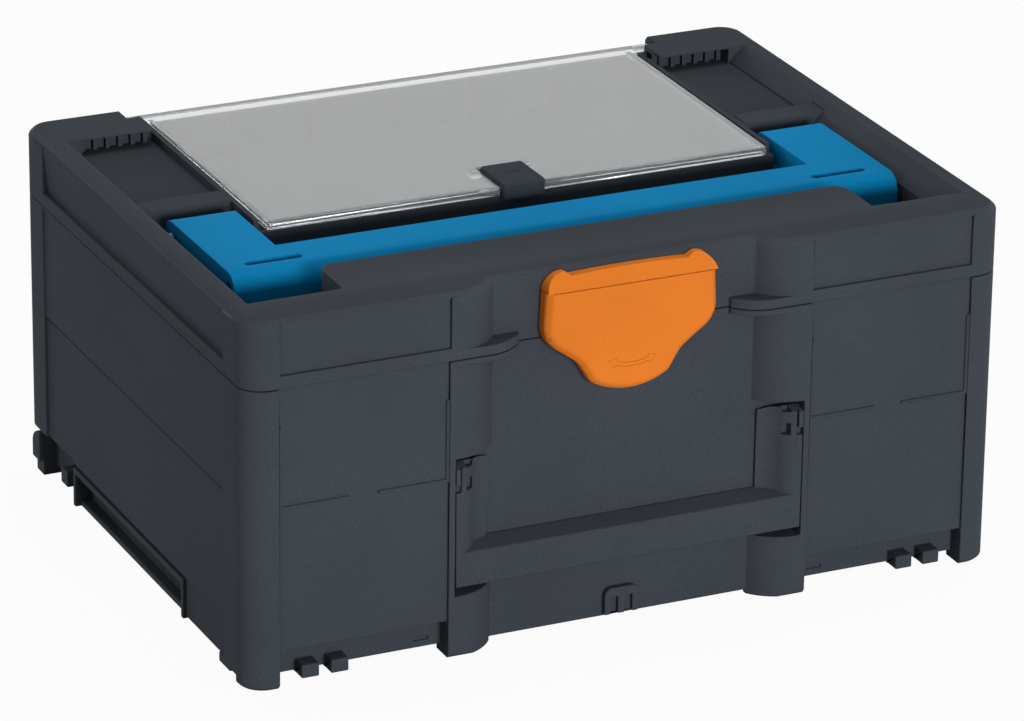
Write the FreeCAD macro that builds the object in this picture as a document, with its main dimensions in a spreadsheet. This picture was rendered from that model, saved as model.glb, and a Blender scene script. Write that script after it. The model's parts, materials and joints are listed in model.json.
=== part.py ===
import FreeCAD, Part
import math
import os
import re

import Sketcher

# Stackable tool case with a compartment in its lid, in millimetres.
# The origin is on the floor under the middle of the case, the front faces -Y and Z points up.

SIZES = {
    # the whole case
    "width": 396.0,
    "depth": 296.0,
    "height": 187.0,
    "lid_height": 34.3,
    "parting_gap": 0.5,
    "corner_radius": 13.0,
    "inner_radius": 12.0,
    "wall": 2.6,
    "top_bevel": 2.8,
    "foot_bevel": 2.0,
    "back_step": 2.5,
    "floor_clearance": 5.0,
    "floor_thickness": 3.0,
    "running_clearance": 0.05,
    "seat_clearance": 0.02,
    "fit_clearance": 0.2,
    "moving_gap": 0.4,
    # the recessed middle of the front and the two posts beside it
    "recess_depth": 11.6,
    "recess_bottom": 2.3,
    "post_half": 91.0,
    "post_flank": 22.5,
    "post_land": 4.0,
    "wing_length": 13.2,
    "wing_end": 1.8,
    "wing_run": 16.5,
    "wing_sweep": 26.0,
    "wing_below": 2.8,
    "wing_above": 4.8,
    "wing_inset": 0.2,
    # the card panels of the base
    "panel_margin": 17.0,
    "panel_depth": 2.0,
    "panel_bottom": 19.0,
    "strip_depth": 10.0,
    "strip_bottom": 4.1,
    "card_rib_level": 92.3,
    "card_rib_thickness": 1.4,
    "card_rib_relief": 1.3,
    "card_lip_drop": 19.2,
    "card_outer_rib": 35.5,
    "card_inner_rib": 36.0,
    # the stacking tabs, the slots and the catch under the front
    "tab_width": 8.9,
    "tab_inset": 35.2,
    "tab_pitch": 15.0,
    "tab_reach": 9.0,
    "tab_bottom": 3.4,
    "tab_top": 10.2,
    "strip_slot_inset": 6.0,
    "strip_slot_length": 8.0,
    "strip_slot_level": 7.6,
    "strip_slot_height": 1.8,
    "catch_half": 8.9,
    "catch_rise": 1.4,
    "catch_top": 17.5,
    "catch_reach": 3.6,
    "catch_round": 4.0,
    "catch_slot_inner": 1.8,
    "catch_slot_width": 4.0,
    "catch_slot_top": 12.8,
    # the sides of the base
    "side_front_post": 29.0,
    "side_rear_post": 31.0,
    "side_depth": 1.6,
    "side_upper_depth": 1.0,
    "side_step_level": 93.0,
    "side_groove_depth": 0.8,
    "side_groove_width": 1.0,
    "side_lip": 1.2,
    "skirt_top": 27.0,
    "skirt_depth": 3.0,
    "skirt_ledge": 30.6,
    "rail_front": 64.0,
    "rail_rear": 84.0,
    "rail_bottom": 4.0,
    "rail_top": 24.5,
    "rail_lip_inset": 3.2,
    "rail_depth": 9.0,
    "rail_stand": 1.6,
    "rail_rim": 3.0,
    "rail_back": 1.6,
    "side_slot_inset": 5.5,
    "side_slot_width": 2.6,
    "side_slot_top": 23.0,
    "side_hook_reach": 4.5,
    "side_hook_length": 13.5,
    "side_hook_bottom": 2.0,
    # the feet and the panel at the back
    "rear_post_bottom": 28.0,
    "rear_corner_inset": 11.0,
    "foot_width": 10.0,
    "foot_inset": 4.0,
    "foot_rear_inset": 5.0,
    "foot_length": 10.0,
    "hoof_inset": 1.2,
    "hoof_lead": 1.2,
    "hoof_bottom": 8.5,
    "hoof_top": 24.0,
    "hoof_round": 7.5,
    "heel_inset": 42.5,
    "heel_length": 9.0,
    "heel_bottom": 8.0,
    "heel_top": 16.0,
    "back_panel_margin": 28.0,
    "back_panel_bottom": 20.0,
    "back_panel_drop": 12.2,
    "back_panel_depth": 0.8,
    # the outside of the lid
    "label_overlap": 0.5,
    "label_margin": 17.5,
    "label_rise": 6.3,
    "label_depth": 2.0,
    "flank_front_post": 28.0,
    "flank_rear_post": 32.0,
    "flank_rise": 6.8,
    "flank_depth": 3.0,
    "seat_pad": 6.0,
    # the lid hinge
    "hinge_axis_inset": 4.0,
    "knuckle_radius": 4.0,
    "knuckle_inner": 90.0,
    "knuckle_length": 10.0,
    "knuckle_middle": 20.0,
    "knuckle_web": 9.0,
    "hinge_pin_radius": 1.6,
    "hinge_bevel": 3.0,
    # the bays in the top of the lid
    "rim_width": 20.5,
    "rim_drop": 10.0,
    "bay_width": 39.0,
    "bay_rise": 7.3,
    "bay_length": 105.5,
    "deck_depth": 57.0,
    "deck_round": 8.0,
    "ramp_length": 32.0,
    "ramp_drop": 15.5,
    "step_width": 13.5,
    "step_drop": 4.0,
    "tray_inset": 37.0,
    "tray_undercut": 9.0,
    "tray_depth": 9.0,
    "tray_foot": 1.0,
    "tray_lip": 1.2,
    "tooth_count": 6,
    "tooth_width": 2.2,
    "tooth_pitch": 6.6,
    "tooth_depth": 2.6,
    "ledge_drop": 4.7,
    # the compartment under the clear cover
    "well_wall": 2.5,
    "well_inset": 8.0,
    "tray_wall": 2.0,
    "tray_lift": 0.7,
    "tray_plate": 2.5,
    "tray_flange": 4.5,
    "rear_rib_pitch": 44.0,
    "rear_rib_depth": 3.0,
    # the clear cover
    "cover_side_gap": 2.0,
    "cover_overhang": 3.0,
    "cover_drop": 4.0,
    "cover_height": 5.0,
    "cover_plate": 2.4,
    "cover_skirt": 2.2,
    "cover_axis_inset": 5.7,
    "barrel_radius": 3.0,
    "ear_length": 9.3,
    "notch_width": 8.5,
    "notch_margin": 1.5,
    "notch_room": 0.5,
    "cover_pin_radius": 1.2,
    "cover_pin_reach": 8.6,
    "cover_pin_seat": 7.0,
    # the clip of the clear cover
    "clip_half": 11.0,
    "clip_overhang": 4.0,
    "clip_length": 29.0,
    "clip_tail": 1.0,
    "clip_stand": 2.2,
    "clip_height": 8.4,
    "clip_plate": 3.6,
    "clip_leg": 3.4,
    "clip_round": 1.6,
    "clip_axis_drop": 2.8,
    "clip_barrel": 2.2,
    "clip_pin_radius": 1.0,
    "clip_boss": 5.0,
    "clip_relief": 0.5,
    # the carry handle
    "handle_side_gap": 1.9,
    "handle_inner_gap": 3.2,
    "handle_front_gap": 10.5,
    "handle_floor_gap": 1.25,
    "handle_drop": 4.5,
    "handle_nose": 9.0,
    "handle_shell": 4.5,
    "handle_skirt": 12.0,
    "handle_reach": 48.0,
    "handle_boss": 8.0,
    "handle_pin_radius": 2.0,
    "handle_slot_inset": 11.0,
    "handle_slot_length": 29.6,
    "handle_slot_setback": 15.0,
    "handle_slot_width": 5.0,
    "grip_width": 42.5,
    "grip_space": 32.0,
    # the folding handle in the front
    "grip_bottom": 36.2,
    "grip_room": 4.4,
    "grip_front_top": 54.0,
    "grip_back_top": 57.0,
    "grip_round": 1.5,
    "arm_width": 20.4,
    "arm_edge": 1.6,
    "arm_crown": 5.0,
    "arm_brow": 3.0,
    "arm_axis_level": 94.0,
    "arm_axis_inset": 5.4,
    "arm_pin_radius": 2.0,
    "arm_pin_reach": 9.0,
    "arm_pin_seat": 5.0,
    "arm_slot_inset": 7.8,
    "arm_slot_width": 3.9,
    "arm_slot_low": 9.0,
    "arm_slot_gap": 2.8,
    "arm_slot_depth": 6.0,
    "arm_shoulder": 3.0,
    "arm_groove": 0.8,
    "arm_room": 8.4,
    # the rotary latch
    "latch_axis_rise": 11.3,
    "latch_half": 45.4,
    "latch_shoulder_drop": 11.4,
    "latch_shoulder_round": 14.0,
    "latch_waist_half": 27.0,
    "latch_waist_drop": 24.8,
    "latch_waist_round": 12.0,
    "latch_tongue_half": 20.5,
    "latch_tongue_drop": 35.5,
    "latch_tongue_sweep": 38.0,
    "latch_tip_round": 7.0,
    "latch_ear_half": 34.0,
    "latch_ear_inner": 30.5,
    "latch_ear_rise": 21.6,
    "latch_ear_round": 9.8,
    "latch_brow_rise": 19.6,
    "latch_brow_arch": 640.0,
    "latch_seam_half": 44.2,
    "latch_seam_rise": 13.0,
    "latch_seam": 0.4,
    "latch_back_gap": 0.8,
    "latch_thickness": 9.2,
    "latch_edge": 3.0,
    "latch_lean": 7.6,
    "carrier_half": 35.0,
    "carrier_drop": 13.0,
    "carrier_plate": 4.0,
    "axle_radius": 4.0,
    "axle_head": 7.5,
    "axle_head_thickness": 2.0,
    "ring_radius": 6.6,
    "ring_thickness": 0.8,
    "ring_well": 7.6,
}

# Places and widths that follow from the sizes. Those along Y with no sign are measured
# from the middle of the case towards the side that they are on.
PLACES = {
    "front_face": "-depth / 2",
    "back_face": "depth / 2 - back_step",
    "recess_face": "front_face + recess_depth",
    "recess_inside": "recess_face + wall",
    "lid_bottom": "height - lid_height",
    "base_height": "lid_bottom - parting_gap",
    "roof": "height - wall",
    "above_all": "height + wall",
    "below_all": "0 - wall",
    # front and sides of the base
    "recess_half": "post_half - post_flank",
    "wing_half": "recess_half - wing_length",
    "post_sweep": "(post_flank * post_flank + recess_depth * recess_depth) / (2 * recess_depth)",
    "panel_inner": "post_half + post_land",
    "panel_outer": "width / 2 - panel_margin",
    "card_lip_top": "base_height - card_lip_drop",
    "tab_first": "panel_outer - tab_inset",
    "strip_slot_inner": "panel_inner + strip_slot_inset",
    "side_front": "depth / 2 - side_front_post",
    "side_rear": "depth / 2 - side_rear_post",
    "side_slot_place": "side_front - side_slot_inset",
    "side_hook_front": "side_front + side_hook_reach",
    "side_hook_rear": "side_hook_front - side_hook_length",
    "foot_outer": "width / 2 - foot_inset",
    "foot_rear": "depth / 2 - foot_rear_inset",
    "foot_front": "foot_rear - foot_length",
    "heel_rear": "depth / 2 - heel_inset",
    "heel_front": "heel_rear - heel_length",
    "back_panel_half": "width / 2 - back_panel_margin",
    "back_panel_top": "base_height - back_panel_drop",
    # lid and its hinge
    "label_inner": "panel_inner - label_overlap",
    "label_outer": "width / 2 - label_margin",
    "label_bottom": "lid_bottom + label_rise",
    "flank_front": "depth / 2 - flank_front_post",
    "flank_rear": "depth / 2 - flank_rear_post",
    "flank_bottom": "lid_bottom + flank_rise",
    "hinge_place": "depth / 2 - hinge_axis_inset",
    "hinge_level": "base_height + parting_gap / 2",
    "knuckle_outer": "knuckle_inner + 2 * knuckle_length + knuckle_middle",
    # bays
    "bay_outer": "width / 2 - rim_width",
    "bay_inner": "bay_outer - bay_width",
    "bay_floor": "lid_bottom + bay_rise",
    "slope_level": "height - rim_drop",
    "deck_edge": "depth / 2 - deck_depth",
    "bay_rear": "bay_length - deck_edge",
    "ramp_front": "deck_edge + ramp_length",
    "ramp_foot": "height - ramp_drop",
    "step_level": "height - step_drop",
    "tray_front": "bay_rear + step_width",
    "tray_rear": "depth / 2 - tray_inset",
    "tray_end": "tray_rear + tray_undercut",
    "tray_floor": "height - tray_depth",
    "ledge_level": "height - ledge_drop",
    # compartment, cover and clip
    "well_half": "bay_inner - well_wall",
    "well_front": "grip_edge - grip_space",
    "well_rear": "depth / 2 - well_inset",
    "tray_bottom": "lid_bottom + tray_lift",
    "tray_rim": "cover_lip - moving_gap",
    "cover_half": "well_half - cover_side_gap",
    "cover_front": "well_front + cover_overhang",
    "cover_top": "height - cover_drop",
    "cover_lip": "cover_top - cover_height",
    "cover_axis": "depth / 2 - cover_axis_inset",
    "barrel_level": "cover_top - barrel_radius",
    "notch_half": "bay_inner + notch_width",
    "ear_half": "notch_half - moving_gap",
    "ear_front": "cover_axis - ear_length",
    "notch_front": "ear_front - notch_margin",
    "notch_floor": "cover_top - 2 * barrel_radius - notch_room",
    "cover_pin_inner": "ear_half - cover_pin_reach",
    "cover_pin_outer": "notch_half + cover_pin_seat",
    "clip_front": "cover_front + clip_overhang",
    "clip_axis": "clip_length - clip_front",
    "clip_rear": "clip_axis - clip_tail",
    "clip_top": "cover_top + clip_stand",
    "clip_bottom": "clip_top - clip_height",
    "clip_axis_level": "cover_top - clip_axis_drop",
    # handles
    "handle_outer": "bay_outer - handle_side_gap",
    "handle_inner": "bay_inner + handle_inner_gap",
    "handle_top": "height - handle_drop",
    "handle_front": "deck_edge - handle_front_gap",
    "grip_edge": "deck_edge - grip_width",
    "handle_axis": "grip_edge - handle_reach",
    "handle_level": "handle_top - handle_boss",
    "handle_low": "bay_floor + handle_floor_gap",
    "handle_slot_outer": "handle_outer - handle_slot_inset",
    "handle_slot_inner": "handle_slot_outer - handle_slot_length",
    "handle_slot_place": "handle_front - handle_slot_setback",
    "grip_half": "post_half + moving_gap",
    "grip_back": "recess_face - moving_gap",
    "arm_place": "recess_face - arm_axis_inset",
    "arm_inner": "grip_half - arm_width",
    "arm_pin_inner": "grip_half - arm_pin_reach",
    # latch
    "latch_level": "lid_bottom + latch_axis_rise",
    "latch_back": "recess_face - latch_back_gap",
    "latch_front": "latch_back - latch_thickness",
    "ring_front": "latch_back - carrier_plate / 2 - fit_clearance - ring_thickness",
}

doc = FreeCAD.newDocument("tool_case")
sheet = doc.addObject("Spreadsheet::Sheet", "Sizes")
for row, (size_name, size_value) in enumerate(SIZES.items(), start=1):
    sheet.set(f"A{row}", size_name)
    sheet.set(f"B{row}", str(size_value))
    sheet.setAlias(f"B{row}", size_name)
doc.recompute()


def formula(text):
    """Write a formula with its places worked out and its size names as cells of the sheet."""
    def cell(word):
        name = word.group(0)
        return f"({formula(PLACES[name])})" if name in PLACES else f"Sizes.{name}"

    return re.sub(r"\b[a-z][a-z_]*\b(?!\()", cell, text)


def number(text):
    """The present value of a formula."""
    return float(sheet.evalExpression(formula(text)))


def bind(item, path, text):
    item.setExpression(path, formula(text))


def box(name, x, y, z):
    """A block between two planes along each axis."""
    block = doc.addObject("Part::Box", name)
    for side, axis, (low, high) in zip(("Length", "Width", "Height"), "xyz", (x, y, z)):
        bind(block, side, f"({high}) - ({low})")
        bind(block, f"Placement.Base.{axis}", low)
    return block


def rod_x(name, radius, x, y, z):
    """A round bar along X between two planes."""
    bar = doc.addObject("Part::Cylinder", name)
    bar.Placement.Rotation = FreeCAD.Rotation(FreeCAD.Vector(0, 1, 0), 90)
    bind(bar, "Radius", radius)
    bind(bar, "Height", f"({x[1]}) - ({x[0]})")
    bind(bar, "Placement.Base.x", x[0])
    bind(bar, "Placement.Base.y", y)
    bind(bar, "Placement.Base.z", z)
    return bar


def rod_y(name, radius, x, y, z):
    """A round bar along Y between two planes."""
    bar = doc.addObject("Part::Cylinder", name)
    bar.Placement.Rotation = FreeCAD.Rotation(FreeCAD.Vector(1, 0, 0), -90)
    bind(bar, "Radius", radius)
    bind(bar, "Height", f"({y[1]}) - ({y[0]})")
    bind(bar, "Placement.Base.x", x)
    bind(bar, "Placement.Base.y", y[0])
    bind(bar, "Placement.Base.z", z)
    return bar


def arc_between(start, end, radius, turn):
    """The arc from start to end that turns left (1) or right (-1), as a counter-clockwise arc."""
    chord = end - start
    middle = (start + end) * 0.5
    height = math.sqrt(max(radius * radius - chord.Length * chord.Length / 4, 0))
    normal = FreeCAD.Vector(-chord.y, chord.x, 0).normalize()
    centre = middle + normal * (height * turn)
    first, last = (start, end) if turn > 0 else (end, start)
    angles = [math.atan2(p.y - centre.y, p.x - centre.x) for p in (first, last)]
    if angles[1] < angles[0]:
        angles[1] += 2 * math.pi
    circle = Part.Circle(centre, FreeCAD.Vector(0, 0, 1), radius)
    return Part.ArcOfCircle(circle, angles[0], angles[1])


def draw(sketch, outline):
    """Draw a closed outline of (u, v) points; (u, v, radius, turn) reaches its point along an arc."""
    places = [FreeCAD.Vector(number(p[0]), number(p[1]), 0) for p in outline]
    ends = []
    for index, point in enumerate(outline):
        start = places[index - 1]
        end = places[index]
        if len(point) == 4:
            radius = number(point[2])
            edge = sketch.addGeometry(arc_between(start, end, radius, point[3]), False)
            limit = sketch.addConstraint(Sketcher.Constraint("Radius", edge, radius))
            sketch.setExpression(f"Constraints[{limit}]", formula(point[2]))
            ends.append((edge, 1, 2) if point[3] > 0 else (edge, 2, 1))
        else:
            edge = sketch.addGeometry(Part.LineSegment(start, end), False)
            ends.append((edge, 1, 2))
    for index, point in enumerate(outline):
        edge, _, tail = ends[index]
        after, head, _ = ends[(index + 1) % len(outline)]
        sketch.addConstraint(Sketcher.Constraint("Coincident", edge, tail, after, head))
        for kind, text, value in zip(("DistanceX", "DistanceY"), point, places[index]):
            limit = sketch.addConstraint(Sketcher.Constraint(kind, -1, 1, edge, tail, value))
            sketch.setExpression(f"Constraints[{limit}]", formula(text))
    return sketch


TURNS = {
    "XY": (FreeCAD.Rotation(), FreeCAD.Vector(0, 0, 1), "z"),
    "XZ": (FreeCAD.Rotation(FreeCAD.Vector(1, 0, 0), 90), FreeCAD.Vector(0, 1, 0), "y"),
    "YZ": (FreeCAD.Rotation(FreeCAD.Vector(1, 1, 1), 120), FreeCAD.Vector(1, 0, 0), "x"),
}


def prism(name, plane, outline, low, high):
    """An outline in a plane, drawn out between two levels along the plane's normal."""
    rotation, direction, axis = TURNS[plane]
    sketch = doc.addObject("Sketcher::SketchObject", name + "_sketch")
    sketch.Placement.Rotation = rotation
    draw(sketch, outline)
    bind(sketch, f"Placement.Base.{axis}", low)
    solid = doc.addObject("Part::Extrusion", name)
    solid.Base = sketch
    solid.DirMode = "Custom"
    solid.Dir = direction
    solid.Solid = True
    bind(solid, "LengthFwd", f"({high}) - ({low})")
    return solid


def edges_along_y(shape, x, z):
    """The names of the straight edges along Y at a place, on either side of the middle."""
    names = []
    for index, edge in enumerate(shape.Edges, start=1):
        first, last = edge.Vertexes[0].Point, edge.Vertexes[-1].Point
        beside = abs(abs(first.x) - x) + abs(first.z - z) + abs(first.x - last.x) + abs(last.z - z)
        if beside < 0.01:
            names.append(f"Edge{index}")
    return names


def edges_across_y(shape, y, level):
    """The names of the edges in a plane across Y, apart from the one along a level."""
    names = []
    for index, edge in enumerate(shape.Edges, start=1):
        in_plane = all(abs(corner.Y - y) < 0.01 for corner in edge.Vertexes)
        along = all(abs(corner.Z - level) < 0.01 for corner in edge.Vertexes)
        if in_plane and not along:
            names.append(f"Edge{index}")
    return names


def round_off(body, name, form, names, radius):
    """Round the named edges, or the edges of the named faces, of a body's last feature."""
    rounding = body.newObject("PartDesign::Fillet", name)
    rounding.Base = (form, names)
    bind(rounding, "Radius", radius)
    body.Tip = rounding
    return rounding


def slab(name, outline, low, high):
    """A body padded up from an outline."""
    body = doc.addObject("PartDesign::Body", name)
    sketch = body.newObject("Sketcher::SketchObject", name + "_sketch")
    plane = [item for item in body.Origin.OriginFeatures if item.Role == "XY_Plane"][0]
    sketch.AttachmentSupport = [(plane, "")]
    sketch.MapMode = "FlatFace"
    draw(sketch, outline)
    bind(sketch, "AttachmentOffset.Base.z", low)
    pad = body.newObject("PartDesign::Pad", name + "_pad")
    pad.Profile = sketch
    bind(pad, "Length", f"({high}) - ({low})")
    doc.recompute()
    return body


def end_face(body, last):
    """The name of the highest or the lowest face of a body."""
    levels = [face.CenterOfMass.z for face in body.Tip.Shape.Faces]
    return f"Face{levels.index(last(levels)) + 1}"


def bevel_off(body, name, form, names, width):
    """Bevel the named edges, or the edges of the named faces, of a body's last feature."""
    bevel = body.newObject("PartDesign::Chamfer", name)
    bevel.Base = (form, names)
    bind(bevel, "Size", width)
    body.Tip = bevel
    return bevel


def mirror(item):
    """The same piece on the other side of the case."""
    twin = doc.addObject("Part::Mirroring", item.Name + "_twin")
    twin.Source = item
    twin.Normal = FreeCAD.Vector(1, 0, 0)
    return twin


def both(*items):
    return [piece for item in items for piece in (item, mirror(item))]


def fuse(name, items):
    joined = doc.addObject("Part::MultiFuse", name)
    joined.Shapes = items
    return joined


def cut(name, item, tools):
    """Take the tools away from an item."""
    result = doc.addObject("Part::Cut", name)
    result.Base = item
    result.Tool = tools[0] if len(tools) == 1 else fuse(name + "_tools", tools)
    return result


def rounded(half_width, front, rear, radius):
    """The outline of a rectangle with round corners, symmetric about the middle of the case."""
    inner = f"{half_width} - {radius}"
    return [
        (f"-({inner})", front, radius, 1),
        (inner, front),
        (half_width, f"{front} + {radius}", radius, 1),
        (half_width, f"{rear} - {radius}"),
        (inner, rear, radius, 1),
        (f"-({inner})", rear),
        (f"-({half_width})", f"{rear} - {radius}", radius, 1),
        (f"-({half_width})", f"{front} + {radius}"),
    ]


def wave(inner, outer, low, high, turn):
    """A flank that runs from one level to another in two equal arcs, level at both ends."""
    run = f"(({outer}) - ({inner})) / 2"
    rise = f"(({low}) - ({high})) / 2"
    radius = f"(({run}) * ({run}) + ({rise}) * ({rise})) / (2 * ({rise}))"
    middle = (f"(({inner}) + ({outer})) / 2", f"(({low}) + ({high})) / 2")
    return [(*middle, radius, turn), (outer, high, radius, -turn)]


def recess_outline():
    """The hollow in the middle of the front, with a swept flank up to each post."""
    return [
        ("post_half", "front_face - wall"),
        ("post_half", "front_face"),
        ("recess_half", "recess_face", "post_sweep", -1),
        ("-recess_half", "recess_face"),
        ("-post_half", "front_face", "post_sweep", -1),
        ("-post_half", "front_face - wall"),
    ]


def lid_outline():
    """The outline of the lid, with the hollow of the front in it."""
    plain = rounded("width / 2", "front_face", "back_face", "corner_radius")
    hollow = [
        ("-post_half", "front_face"),
        ("-recess_half", "recess_face", "post_sweep", 1),
        ("recess_half", "recess_face"),
        ("post_half", "front_face", "post_sweep", 1),
    ]
    return plain[:1] + hollow + plain[1:]


def wing(name, low, high):
    """The shelf that runs from a post along the parting line into the recess."""
    face = "front_face + wing_inset"
    outline = [
        ("panel_inner", "recess_face"),
        ("wing_half", "recess_face"),
        ("wing_half", "recess_face - wing_end"),
        ("wing_half + wing_run", face, "wing_sweep", 1),
        ("panel_inner", face),
    ]
    return prism(name, "XY", outline, low, high)


def hinge_bevel(name, level, toward):
    """A bevel along the back of the parting line, so that the lid can swing past the base."""
    start = "back_face - hinge_bevel"
    end = "back_face + wall"
    outline = [
        (start, level),
        (end, level),
        (end, f"{level} + ({toward}) * (({end}) - ({start}))"),
    ]
    return prism(name, "YZ", outline, "-width / 2 - wall", "width / 2 + wall")


def knuckle(name, inner, length, web):
    """One knuckle of the lid hinge with the web that carries it."""
    x = (inner, f"{inner} + {length}")
    barrel = rod_x(name + "_barrel", "knuckle_radius", x, "hinge_place", "hinge_level")
    block = box(name + "_web", x, ("back_face - wall", "back_face"), web)
    return [barrel, block]


def hinge_relief(name, z):
    """The room that the knuckles of the lid hinge need in a back wall."""
    return box(name, ("knuckle_inner - moving_gap", "knuckle_outer + moving_gap"),
               ("hinge_place - knuckle_radius - moving_gap", "back_face + wall"), z)


def base_tub():
    outer = slab("base_block", rounded("width / 2", "front_face", "back_face", "corner_radius"), "0",
                 "base_height")
    bevel_off(outer, "foot_edge", outer.Tip, [end_face(outer, min)], "foot_bevel")
    side = "width / 2"
    past = "width / 2 + wall"
    over = "base_height + wall"
    cuts = [prism("base_recess", "XY", recess_outline(), "below_all", over)]
    panel = box("card_panel", ("panel_inner", "panel_outer"),
                ("front_face - wall", "front_face + panel_depth"), ("panel_bottom", over))
    strip = box("front_strip", ("panel_inner", "panel_outer"),
                ("front_face - wall", "front_face + strip_depth"), ("below_all", "panel_bottom"))
    strip_foot = box("strip_foot", ("panel_inner", "panel_outer"),
                     ("front_face + strip_depth - wall", "recess_inside + wall"),
                     ("below_all", "strip_bottom"))
    strip_slot = box("strip_slot", ("strip_slot_inner", "strip_slot_inner + strip_slot_length"),
                     ("front_face + strip_depth - wall", "front_face + strip_depth + wall / 2"),
                     ("strip_slot_level", "strip_slot_level + strip_slot_height"))
    flank_y = ("-side_front", "side_rear")
    lower = box("side_lower", (f"{side} - side_depth", past), flank_y, ("skirt_top", "side_step_level"))
    upper = box("side_upper", (f"{side} - side_upper_depth", past), flank_y,
                ("side_step_level", "base_height - side_lip"))
    groove = box("side_groove", (f"{side} - side_depth - side_groove_depth", past), flank_y,
                 ("side_step_level - side_groove_width", "side_step_level"))
    skirt = box("side_skirt", (f"{side} - skirt_depth", past), flank_y, ("below_all", "skirt_top"))
    corner = box("rear_corner", (f"{side} - rear_corner_inset", past),
                 ("rail_rear + fit_clearance", "back_face + wall"), ("below_all", "rear_post_bottom"))
    rail_seat = box("rail_seat", (f"{side} - skirt_depth - rail_depth - fit_clearance", past),
                    ("-rail_front - fit_clearance", "rail_rear + fit_clearance"),
                    ("rail_bottom - fit_clearance", "rail_top + fit_clearance"))
    side_slot = box("side_slot", (f"{side} - skirt_depth - wall", past),
                    ("-side_slot_place - side_slot_width / 2", "-side_slot_place + side_slot_width / 2"),
                    ("floor_clearance", "side_slot_top"))
    arm_notch = box("arm_notch", ("recess_half - wall", "grip_half + moving_gap"),
                    ("front_face - wall", "recess_face"),
                    ("grip_bottom - grip_room", "arm_axis_level + arm_room"))
    arm_hole = rod_x("arm_hole", "arm_pin_radius + seat_clearance",
                     ("grip_half", "grip_half + moving_gap + arm_pin_seat"), "arm_place", "arm_axis_level")
    cuts += both(panel, strip, strip_foot, strip_slot, lower, upper, groove, skirt, corner, rail_seat,
                 side_slot,
                 arm_notch, arm_hole)
    cuts += [
        box("underside", ("-width / 2 - wall", "width / 2 + wall"), ("recess_inside", "back_face + wall"),
            ("below_all", "floor_clearance")),
        box("recess_foot", ("-recess_half", "recess_half"), ("recess_face - wall", "recess_inside + wall"),
            ("below_all", "recess_bottom")),
        box("back_panel", ("-back_panel_half", "back_panel_half"),
            ("back_face - back_panel_depth", "back_face + wall"),
            ("back_panel_bottom", "back_panel_top")),
        prism("cavity", "XY",
              rounded("(width / 2 - skirt_depth - wall)", "(recess_inside)", "(back_face - wall)",
                      "inner_radius"),
              "skirt_ledge", over),
        prism("cavity_low", "XY",
              rounded("(width / 2 - skirt_depth - rail_depth - wall)", "(recess_inside)",
                      "(back_face - wall)",
                      "inner_radius"),
              "floor_clearance + floor_thickness", "skirt_ledge + wall"),
        hinge_bevel("base_bevel", "base_height", "-1"),
        hinge_relief("base_relief", ("hinge_level - knuckle_radius - moving_gap", over)),
    ]
    cuts.append(mirror(cuts[-1]))
    cuts += both(box("front_bay", ("panel_inner + wall", "panel_outer + wall * 2"),
                     ("front_face + panel_depth + wall", "recess_inside + wall"),
                     ("panel_bottom + wall", over)))
    shell = cut("base_shell", outer, cuts)

    card_face = ("front_face + panel_depth - card_rib_relief", "front_face + panel_depth + wall / 2")
    rib_z = ("card_rib_level - card_rib_thickness / 2", "card_rib_level + card_rib_thickness / 2")
    lip_z = ("card_rib_level", "card_lip_top")
    additions = both(
        box("outer_card_rib", ("panel_outer - card_outer_rib", "panel_outer + wall / 2"), card_face, rib_z),
        box("inner_card_rib", ("panel_inner - wall / 2", "panel_inner + card_inner_rib"), card_face, rib_z),
        box("outer_card_lip", ("panel_outer - card_rib_thickness", "panel_outer + wall / 2"), card_face,
            lip_z),
        box("inner_card_lip", ("panel_inner - wall / 2", "panel_inner + card_rib_thickness"), card_face,
            lip_z),
        wing("base_wing", "base_height - wing_below", "base_height"),
        box("rear_foot", ("foot_outer - foot_width", "foot_outer"), ("foot_front", "foot_rear"),
            ("0", "hoof_bottom + wall")),
        prism("rear_hoof", "YZ", [
            ("foot_front - hoof_lead", "hoof_bottom"),
            ("foot_rear - hoof_lead", "hoof_bottom"),
            ("foot_rear - hoof_lead", "hoof_top - hoof_round"),
            ("foot_rear - hoof_lead - hoof_round", "hoof_top", "hoof_round", 1),
            ("foot_front - hoof_lead", "hoof_top"),
        ], f"{side} - rear_corner_inset - wall", f"{side} - hoof_inset"),
        box("rear_heel", (f"{side} - rear_corner_inset - wall", f"{side} - skirt_depth"),
            ("heel_front", "heel_rear"), ("heel_bottom", "heel_top")),
        box("side_hook", (f"{side} - skirt_depth - wall", f"{side} - hoof_inset"),
            ("-side_hook_front", "-side_hook_rear"),
            ("side_hook_bottom", "side_hook_bottom + floor_clearance")),
    )
    for index in range(2):
        start = f"tab_first + {index} * tab_pitch"
        additions += both(box(f"stack_tab_{index}", (start, f"{start} + tab_width"),
                              ("front_face + strip_depth - tab_reach",
                               "front_face + strip_depth + wall / 2"),
                              ("tab_bottom", "tab_top")))
    for index in range(2):
        inner = f"knuckle_inner + {index} * (knuckle_length + knuckle_middle)"
        web = ("hinge_level - knuckle_web", "base_height")
        additions += both(*knuckle(f"base_knuckle_{index}", inner, "knuckle_length", web))
    additions += both(box("front_seat", ("panel_outer - seat_pad", "panel_outer"),
                          ("front_face + panel_depth + wall / 2",
                           "front_face + panel_depth + wall + seat_pad"),
                          ("base_height - seat_pad", "lid_bottom")))
    additions.append(catch())
    whole = fuse("base_whole", [shell, *additions])
    holes = both(rod_x("base_pin_hole", "hinge_pin_radius + seat_clearance",
                       ("knuckle_inner - wall", "knuckle_outer + wall"),
                       "hinge_place", "hinge_level"))
    return cut("base_tub", whole, holes)


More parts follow.
